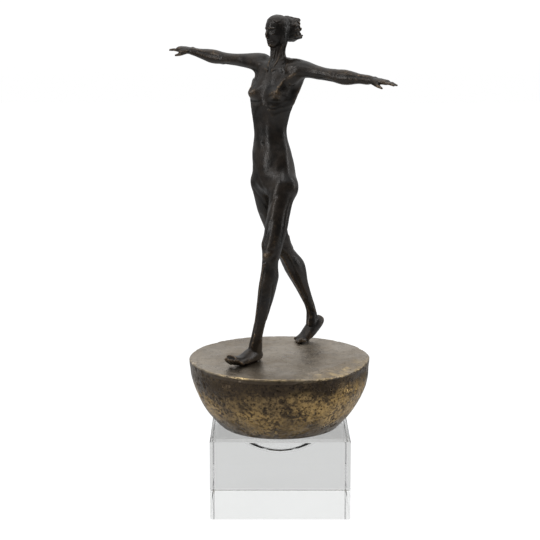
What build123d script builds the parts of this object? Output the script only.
from build123d import *
import math
import os

# Striding bronze woman on a half-ball base, which stands on a crystal block.
# Millimetres, +Z up. The origin is the middle of the crystal block's underside.
# Names such as right_arm are the figure's own right and left.

# ---- Base ----------------------------------------------------------------
BLOCK_SIDE = 136.0  # square crystal block
BLOCK_EDGE = 1.2  # ground edge of the block
GLUE = 0.3  # clear bond between bowl and block
BOWL_RADIUS = 90.0  # outside of the half ball
RIM_HEIGHT = 146.0  # top of the deck above the table
BOWL_FOOT = 78.5  # the bowl's flat underside above the table
BOWL_WALL = 4.0
BOWL_FLOOR = 5.0
DECK_THICKNESS = 5.0
RECESS_RADIUS = 51.0  # dished recess in the block, at its top face
RECESS_DEPTH = 23.5
BOND_INNER_RADIUS = 53.0
BOND_MARGIN = 1.0  # the bond stops this far inside the bowl's edge

# ---- Fasteners -----------------------------------------------------------
FIT = 0.05  # radial clearance round every pin, stud and rod
TIE_ROD_RADIUS = 3.0
TIE_BOSS_RADIUS = 9.0
TIE_BOSS_DEPTH = 14.0
TIE_NUT_ACROSS = 10.0  # across flats
TIE_NUT_HEIGHT = 5.0
TIE_WASHER_RADIUS = 9.0
TIE_ROD_END = 4.0  # bare thread below the nut
STUD_RADIUS = 1.6
STUD_IN_FOOT = 4.5
STUD_END = 2.0
FOOT_NUT_ACROSS = 6.0
FOOT_NUT_HEIGHT = 2.6
FOOT_WASHER_RADIUS = 4.0
WASHER_THICKNESS = 1.2
ARM_PIN = (1.8, 16.0)  # radius, length
HIP_PIN = (2.2, 16.0)
NECK_PIN = (2.0, 12.0)
HAIR_PIN = (1.0, 7.0)

# ---- Figure --------------------------------------------------------------
FACING = 38.0  # the body faces this many degrees to -X of straight ahead (-Y)
HEAD_TURN = 50.0  # the head faces further round the same way
HIP_SLOPE = 46.0  # slope of the flat where a leg meets the torso
CROTCH_HEIGHT = 305.0
NECK_BASE_HEIGHT = 438.0
SPINE = (-4.5, 3.0)  # x and y of the middle of the pelvis


def heading(degrees):
    """Level unit vector that many degrees from -Y towards -X."""
    turn = math.radians(degrees)
    return Vector(-math.sin(turn), -math.cos(turn), 0)


FORWARD = heading(FACING)
LEFT = Vector(-FORWARD.Y, FORWARD.X, 0)
UP = Vector(0, 0, 1)


# ---- Building blocks -----------------------------------------------------
def limb(stations, across):
    """Smooth solid through oval stations of (x, y, z, half width, half depth).

    The half width of every oval lies along the vector across.
    """
    centres = [Vector(x, y, z) for x, y, z, _, _ in stations]
    ovals = []
    for index, (_, _, _, half_width, half_depth) in enumerate(stations):
        before = centres[max(index - 1, 0)]
        after = centres[min(index + 1, len(centres) - 1)]
        along = (after - before).normalized()
        level = (across - along * across.dot(along)).normalized()
        plane = Plane(origin=centres[index], x_dir=level, z_dir=along)
        ovals.append(plane * Ellipse(half_width, half_depth))
    return loft(ovals)


def dowel(plane, size, clearance=0.0):
    """Pin centred on a joint plane and square to it; size is (radius, length)."""
    radius, length = size
    return plane * Cylinder(radius + clearance, length + 2 * clearance)


def beyond(plane, reach, half_width):
    """Square block on the positive side of a joint plane."""
    block = Box(2 * half_width, 2 * half_width, reach, align=(Align.CENTER, Align.CENTER, Align.MIN))
    return plane * block


def hex_nut(across_flats, height, bore_radius):
    """Nut standing on z = 0."""
    outline = RegularPolygon(across_flats / 2, 6, major_radius=False)
    return extrude(outline - Circle(bore_radius), height)


def washer(radius, bore_radius):
    """Flat washer standing on z = 0."""
    return extrude(Circle(radius) - Circle(bore_radius), WASHER_THICKNESS)


# ---- Joint planes of the castings ----------------------------------------
RIGHT_SHOULDER = Vector(-20.6, 16.5, 437.0)
LEFT_SHOULDER = Vector(18.6, -15.5, 432.0)
RIGHT_ELBOW = Vector(-59.5, 42.0, 440.5)
LEFT_ELBOW = Vector(58.5, -41.0, 426.0)


def shoulder_plane(shoulder, elbow):
    """Flat across the upper arm, looking outwards."""
    return Plane(origin=shoulder, z_dir=(elbow - shoulder).normalized())


def hip_plane(side):
    """Slanted flat from the crotch up over the hip; side is 1 for left, -1 for right."""
    slope = math.radians(HIP_SLOPE)
    spine = Vector(SPINE[0], SPINE[1], CROTCH_HEIGHT)
    outward = LEFT * side
    middle = spine + (outward * math.cos(slope) + UP * math.sin(slope)) * 20.0
    return Plane(origin=middle, z_dir=outward * math.sin(slope) - UP * math.cos(slope))


NECK_PLANE = Plane(origin=(-1.4, 2.5, NECK_BASE_HEIGHT), z_dir=UP)
ARM_PLANES = {
    "right": shoulder_plane(RIGHT_SHOULDER, RIGHT_ELBOW),
    "left": shoulder_plane(LEFT_SHOULDER, LEFT_ELBOW),
}
HIP_PLANES = {"right": hip_plane(-1), "left": hip_plane(1)}
HAIR_PLANE = Plane(origin=(6.0, 5.5, 469.0), z_dir=(0.80, 0.55, 0.10))
STUD_PLACES = {"right": (30.0, 64.5), "left": (-22.5, -18.0)}


# ---- Figure castings, before they are fitted to each other ---------------
def torso_form():
    return limb(
        [
            (-5.0, 3.0, 300.0, 9.0, 8.0),
            (-5.0, 3.5, 310.0, 17.5, 12.5),
            (-5.5, 4.5, 321.0, 22.5, 16.5),
            (-6.0, 5.0, 332.0, 23.0, 17.5),
            (-7.5, 5.0, 344.0, 22.5, 16.0),
            (-8.8, 4.5, 356.0, 20.5, 14.0),
            (-9.6, 4.5, 369.0, 18.0, 13.0),
            (-9.3, 4.0, 386.0, 20.0, 15.0),
            (-8.3, 3.0, 400.0, 23.5, 17.0),
            (-7.0, 2.5, 412.0, 25.5, 17.5),
            (-5.0, 2.0, 423.0, 24.5, 15.0),
            (-3.2, 2.0, 431.0, 21.5, 12.0),
            (-2.0, 2.5, 436.5, 16.0, 9.5),
            (-1.4, 2.5, 441.0, 9.0, 8.0),
        ],
        LEFT,
    )


def head_form():
    across = heading(HEAD_TURN + 90)
    neck = limb(
        [
            (-1.4, 2.5, 435.0, 9.5, 8.5),
            (-1.5, 2.5, 440.0, 8.0, 8.0),
            (-2.0, 2.0, 446.0, 7.0, 7.4),
            (-1.5, 1.5, 452.0, 6.8, 7.4),
            (-0.5, 1.0, 460.0, 7.5, 8.5),
        ],
        across,
    )
    skull = limb(
        [
            (-8.0, -4.0, 451.5, 3.5, 4.0),
            (-6.5, -2.5, 455.0, 6.5, 8.0),
            (-4.5, -1.0, 460.0, 9.0, 11.0),
            (-3.0, 0.0, 466.0, 10.3, 12.6),
            (-2.0, 1.0, 471.5, 10.6, 12.8),
            (-1.2, 1.5, 476.5, 9.3, 11.3),
            (-0.8, 2.0, 480.0, 6.5, 8.0),
            (-0.5, 2.0, 482.0, 2.5, 3.0),
        ],
        across,
    )
    return neck + skull


def hair_form():
    return limb(
        [
            (3.0, 3.5, 467.0, 9.5, 9.5),
            (8.0, 7.0, 467.0, 9.8, 10.5),
            (13.0, 10.5, 467.0, 8.6, 11.0),
            (17.0, 13.3, 467.5, 6.0, 9.0),
            (19.5, 15.0, 468.0, 2.8, 4.5),
        ],
        heading(HEAD_TURN + 90),
    )


def right_arm_form():
    arm = limb(
        [
            (-12.0, 11.0, 434.5, 9.0, 11.0),
            (-20.6, 16.5, 437.0, 9.0, 10.5),
            (-30.0, 22.5, 438.0, 7.8, 8.2),
            (-40.0, 29.0, 438.7, 6.4, 6.8),
            (-50.0, 35.5, 439.5, 5.8, 6.2),
            (-59.5, 42.0, 440.5, 6.2, 6.8),
            (-67.5, 47.0, 441.8, 6.6, 7.0),
            (-76.0, 52.3, 443.5, 5.6, 6.4),
            (-85.0, 58.0, 445.5, 4.2, 5.2),
            (-90.5, 61.5, 447.0, 3.4, 4.8),
        ],
        UP,
    )
    hand = limb(
        [
            (-86.0, 58.7, 445.8, 3.6, 4.8),
            (-91.0, 61.8, 447.0, 3.4, 5.4),
            (-97.0, 65.5, 448.0, 3.2, 6.6),
            (-102.5, 68.9, 448.6, 2.5, 6.2),
            (-108.0, 72.4, 448.3, 2.0, 4.8),
            (-111.5, 74.6, 448.0, 1.2, 3.0),
        ],
        UP,
    )
    thumb = limb(
        [
            (-91.5, 57.5, 446.4, 2.4, 2.2),
            (-96.5, 58.0, 446.0, 2.0, 2.0),
            (-101.5, 60.5, 445.6, 1.3, 1.4),
        ],
        UP,
    )
    return arm + hand + thumb


def left_arm_form():
    arm = limb(
        [
            (10.0, -9.5, 431.5, 9.0, 11.0),
            (18.6, -15.5, 432.0, 8.8, 10.5),
            (29.0, -22.5, 430.4, 7.4, 8.2),
            (38.5, -28.5, 428.2, 6.4, 7.0),
            (48.0, -34.5, 426.8, 6.1, 6.6),
            (58.5, -41.0, 425.4, 6.9, 7.0),
            (67.0, -46.2, 424.6, 6.1, 6.8),
            (75.5, -51.4, 423.9, 4.8, 5.8),
            (84.5, -57.0, 423.4, 3.6, 5.0),
        ],
        UP,
    )
    hand = limb(
        [
            (80.0, -54.2, 423.8, 3.6, 4.8),
            (86.0, -57.9, 423.0, 3.2, 5.6),
            (92.0, -61.6, 422.2, 2.8, 6.6),
            (98.0, -65.4, 421.4, 2.4, 6.2),
            (104.0, -69.2, 420.4, 1.9, 4.8),
            (108.0, -71.7, 419.5, 1.2, 3.0),
        ],
        UP,
    )
    thumb = limb(
        [
            (83.0, -60.0, 421.5, 2.4, 2.2),
            (88.0, -64.5, 418.8, 2.0, 2.0),
            (92.0, -67.5, 416.8, 1.3, 1.4),
        ],
        UP,
    )
    return arm + hand + thumb


def right_leg_form():
    leg = limb(
        [
            (-16.5, 13.0, 334.0, 10.0, 12.0),
            (-15.5, 15.0, 322.0, 11.8, 14.0),
            (-13.8, 18.5, 309.0, 12.2, 13.8),
            (-10.5, 24.0, 294.0, 11.6, 13.0),
            (-5.5, 31.0, 278.0, 10.5, 11.8),
            (-1.2, 38.0, 264.0, 9.0, 10.4),
            (2.5, 42.5, 252.0, 8.4, 9.4),
            (7.0, 47.5, 242.0, 8.2, 9.2),
            (12.8, 53.0, 231.0, 9.0, 10.6),
            (18.5, 58.0, 219.0, 8.5, 10.2),
            (23.3, 63.0, 206.0, 6.7, 8.0),
            (28.3, 67.0, 193.0, 5.4, 6.4),
            (32.5, 70.5, 181.0, 4.9, 5.6),
            (34.0, 71.5, 171.0, 5.2, 6.8),
            (34.5, 71.5, 160.0, 5.2, 6.8),
        ],
        LEFT,
    )
    foot = limb(
        [
            (43.5, 78.5, 170.0, 3.5, 3.5),
            (41.0, 76.5, 166.0, 5.8, 6.5),
            (35.0, 71.5, 160.5, 6.3, 7.8),
            (29.5, 67.5, 154.3, 7.2, 6.6),
            (24.0, 64.5, 150.2, 7.6, 4.2),
            (19.0, 63.0, 148.6, 7.0, 2.6),
            (14.5, 61.5, 148.2, 4.5, 1.8),
        ],
        heading(150),
    )
    return leg + foot


def left_leg_form():
    leg = limb(
        [
            (5.5, -5.5, 334.0, 11.0, 12.5),
            (4.0, -8.5, 322.0, 12.0, 14.5),
            (1.7, -11.5, 309.0, 11.8, 13.6),
            (-1.3, -15.0, 294.0, 11.0, 12.2),
            (-3.8, -18.0, 281.0, 10.8, 11.8),
            (-6.5, -21.0, 267.0, 9.5, 10.6),
            (-9.0, -23.5, 253.0, 8.3, 9.4),
            (-10.0, -23.5, 244.0, 7.6, 8.8),
            (-10.9, -23.0, 233.0, 7.9, 9.6),
            (-12.7, -23.0, 221.0, 8.2, 9.8),
            (-14.7, -23.5, 210.0, 7.6, 9.0),
            (-17.2, -24.0, 198.0, 6.6, 7.6),
            (-20.2, -24.5, 184.0, 5.5, 6.4),
            (-22.4, -24.0, 173.0, 5.2, 6.4),
            (-24.0, -22.0, 163.0, 5.6, 8.0),
            (-24.5, -19.0, 154.0, 5.6, 7.0),
        ],
        LEFT,
    )
    foot = limb(
        [
            (-20.5, -10.0, 153.5, 3.5, 4.5),
            (-22.0, -13.5, 152.0, 5.8, 6.3),
            (-26.0, -20.5, 153.5, 6.4, 7.8),
            (-31.5, -27.5, 152.5, 7.0, 6.8),
            (-38.0, -34.0, 150.8, 7.6, 4.8),
            (-45.0, -39.5, 153.2, 7.0, 3.6),
            (-51.5, -44.0, 158.0, 4.5, 2.0),
        ],
        heading(FACING + 98),
    )
    return leg + foot


# ---- Castings fitted to each other ---------------------------------------
def torso_casting(arms):
    """Torso with both shoulder stubs, cut on the joint flats and drilled."""
    body = torso_form()
    for plane in HIP_PLANES.values():
        body = split(body, bisect_by=plane, keep=Keep.BOTTOM)
    for side, plane in ARM_PLANES.items():
        body = body + split(arms[side], bisect_by=plane, keep=Keep.BOTTOM)
        body = body - beyond(plane, 40.0, 14.0) - dowel(plane, ARM_PIN, FIT)
    for plane in HIP_PLANES.values():
        body = body - dowel(plane, HIP_PIN, FIT)
    body = split(body, bisect_by=NECK_PLANE, keep=Keep.BOTTOM)
    return body - dowel(NECK_PLANE, NECK_PIN, FIT)


def arm_casting(form, plane):
    return split(form, bisect_by=plane, keep=Keep.TOP) - dowel(plane, ARM_PIN, FIT)


def leg_casting(form, plane, stud_hole):
    """Leg below its slanted flat, drilled for its pin and foot stud; the sole stops at the deck."""
    leg = split(form, bisect_by=plane, keep=Keep.TOP)
    leg = split(leg, bisect_by=Plane.XY.offset(RIM_HEIGHT), keep=Keep.TOP)
    return leg - dowel(plane, HIP_PIN, FIT) - stud_hole


def head_casting():
    head = split(head_form(), bisect_by=HAIR_PLANE, keep=Keep.BOTTOM)
    head = split(head, bisect_by=NECK_PLANE, keep=Keep.TOP)
    return head - dowel(NECK_PLANE, NECK_PIN, FIT) - dowel(HAIR_PLANE, HAIR_PIN, FIT)


def hair_casting():
    return split(hair_form(), bisect_by=HAIR_PLANE, keep=Keep.TOP) - dowel(HAIR_PLANE, HAIR_PIN, FIT)


# ---- Base pieces ---------------------------------------------------------
BOWL_CENTRE = Pos(0, 0, RIM_HEIGHT)
DECK_UNDERSIDE = RIM_HEIGHT - DECK_THICKNESS
BLOCK_HEIGHT = BOWL_FOOT - GLUE
FOOT_RADIUS = math.sqrt(BOWL_RADIUS**2 - (RIM_HEIGHT - BOWL_FOOT) ** 2)


def slab(low, high):
    """Wide flat slab between two heights."""
    side = 3 * BOWL_RADIUS
    return Pos(0, 0, low) * Box(side, side, high - low, align=(Align.CENTER, Align.CENTER, Align.MIN))


def upright(place, low, high, radius):
    """Vertical cylinder over a place (x, y) between two heights."""
    x, y = place
    align = (Align.CENTER, Align.CENTER, Align.MIN)
    return Pos(x, y, low) * Cylinder(radius, high - low, align=align)


def crystal_block():
    """Ground block whose dished recess clears the nut under the bowl."""
    align = (Align.CENTER, Align.CENTER, Align.MIN)
    block = Box(BLOCK_SIDE, BLOCK_SIDE, BLOCK_HEIGHT, align=align)
    block = chamfer(block.edges(), BLOCK_EDGE)
    ball_radius = (RECESS_RADIUS**2 + RECESS_DEPTH**2) / (2 * RECESS_DEPTH)
    ball_centre = BLOCK_HEIGHT - RECESS_DEPTH + ball_radius
    return block - Pos(0, 0, ball_centre) * Sphere(ball_radius)


def bond_ring():
    ring = Circle(FOOT_RADIUS - BOND_MARGIN) - Circle(BOND_INNER_RADIUS)
    return Pos(0, 0, BLOCK_HEIGHT) * extrude(ring, GLUE)


def bowl_shell():
    """Hollow half ball with a flat floor, open at the top where the deck closes it."""
    outside = (BOWL_CENTRE * Sphere(BOWL_RADIUS)) & slab(BOWL_FOOT, DECK_UNDERSIDE)
    inside = (BOWL_CENTRE * Sphere(BOWL_RADIUS - BOWL_WALL)) & slab(BOWL_FOOT + BOWL_FLOOR, RIM_HEIGHT)
    return outside - inside - upright((0, 0), 0, RIM_HEIGHT, TIE_ROD_RADIUS + FIT)


def bowl_deck():
    """Top plate with a blind boss for the tie rod and a hole for each foot stud."""
    plate = (BOWL_CENTRE * Sphere(BOWL_RADIUS)) & slab(DECK_UNDERSIDE, RIM_HEIGHT)
    boss = upright((0, 0), DECK_UNDERSIDE - TIE_BOSS_DEPTH, DECK_UNDERSIDE, TIE_BOSS_RADIUS)
    deck = plate + boss - upright((0, 0), 0, DECK_UNDERSIDE, TIE_ROD_RADIUS + FIT)
    for place in STUD_PLACES.values():
        deck = deck - upright(place, 0, RIM_HEIGHT, STUD_RADIUS + FIT)
    return deck


def tie_rod():
    low = BOWL_FOOT - WASHER_THICKNESS - TIE_NUT_HEIGHT - TIE_ROD_END
    return upright((0, 0), low, DECK_UNDERSIDE, TIE_ROD_RADIUS)


def tie_washer():
    return Pos(0, 0, BOWL_FOOT - WASHER_THICKNESS) * washer(TIE_WASHER_RADIUS, TIE_ROD_RADIUS + FIT)


def tie_nut():
    height = BOWL_FOOT - WASHER_THICKNESS - TIE_NUT_HEIGHT
    return Pos(0, 0, height) * hex_nut(TIE_NUT_ACROSS, TIE_NUT_HEIGHT, TIE_ROD_RADIUS + FIT)


def foot_stud(place, clearance=0.0):
    low = DECK_UNDERSIDE - WASHER_THICKNESS - FOOT_NUT_HEIGHT - STUD_END
    return upright(place, low, RIM_HEIGHT + STUD_IN_FOOT + clearance, STUD_RADIUS + clearance)


def foot_washers():
    height = DECK_UNDERSIDE - WASHER_THICKNESS
    ring = washer(FOOT_WASHER_RADIUS, STUD_RADIUS + FIT)
    return Compound(children=[Pos(x, y, height) * ring for x, y in STUD_PLACES.values()])


def foot_nuts():
    height = DECK_UNDERSIDE - WASHER_THICKNESS - FOOT_NUT_HEIGHT
    nut = hex_nut(FOOT_NUT_ACROSS, FOOT_NUT_HEIGHT, STUD_RADIUS + FIT)
    return Compound(children=[Pos(x, y, height) * nut for x, y in STUD_PLACES.values()])


# ---- Assembly ------------------------------------------------------------
def build_parts():
    """Every sub-part by its node name."""
    arms = {"right": right_arm_form(), "left": left_arm_form()}
    legs = {"right": right_leg_form(), "left": left_leg_form()}
    parts = {
        "crystal_block": crystal_block(),
        "bond_ring": bond_ring(),
        "bowl_shell": bowl_shell(),
        "bowl_deck": bowl_deck(),
        "tie_rod": tie_rod(),
        "tie_washer": tie_washer(),
        "tie_nut": tie_nut(),
        "foot_washers": foot_washers(),
        "foot_nuts": foot_nuts(),
        "torso": torso_casting(arms),
        "head": head_casting(),
        "hair_knot": hair_casting(),
        "neck_pin": dowel(NECK_PLANE, NECK_PIN),
        "hair_pin": dowel(HAIR_PLANE, HAIR_PIN),
    }
    for side in ("right", "left"):
        place = STUD_PLACES[side]
        parts[f"{side}_arm"] = arm_casting(arms[side], ARM_PLANES[side])
        parts[f"{side}_leg"] = leg_casting(legs[side], HIP_PLANES[side], foot_stud(place, FIT))
        parts[f"{side}_shoulder_pin"] = dowel(ARM_PLANES[side], ARM_PIN)
        parts[f"{side}_hip_pin"] = dowel(HIP_PLANES[side], HIP_PIN)
        parts[f"{side}_foot_stud"] = foot_stud(place)
    return parts


def main():
    os.makedirs("parts", exist_ok=True)
    for name, shape in build_parts().items():
        export_step(shape, f"parts/{name}.step")


main()
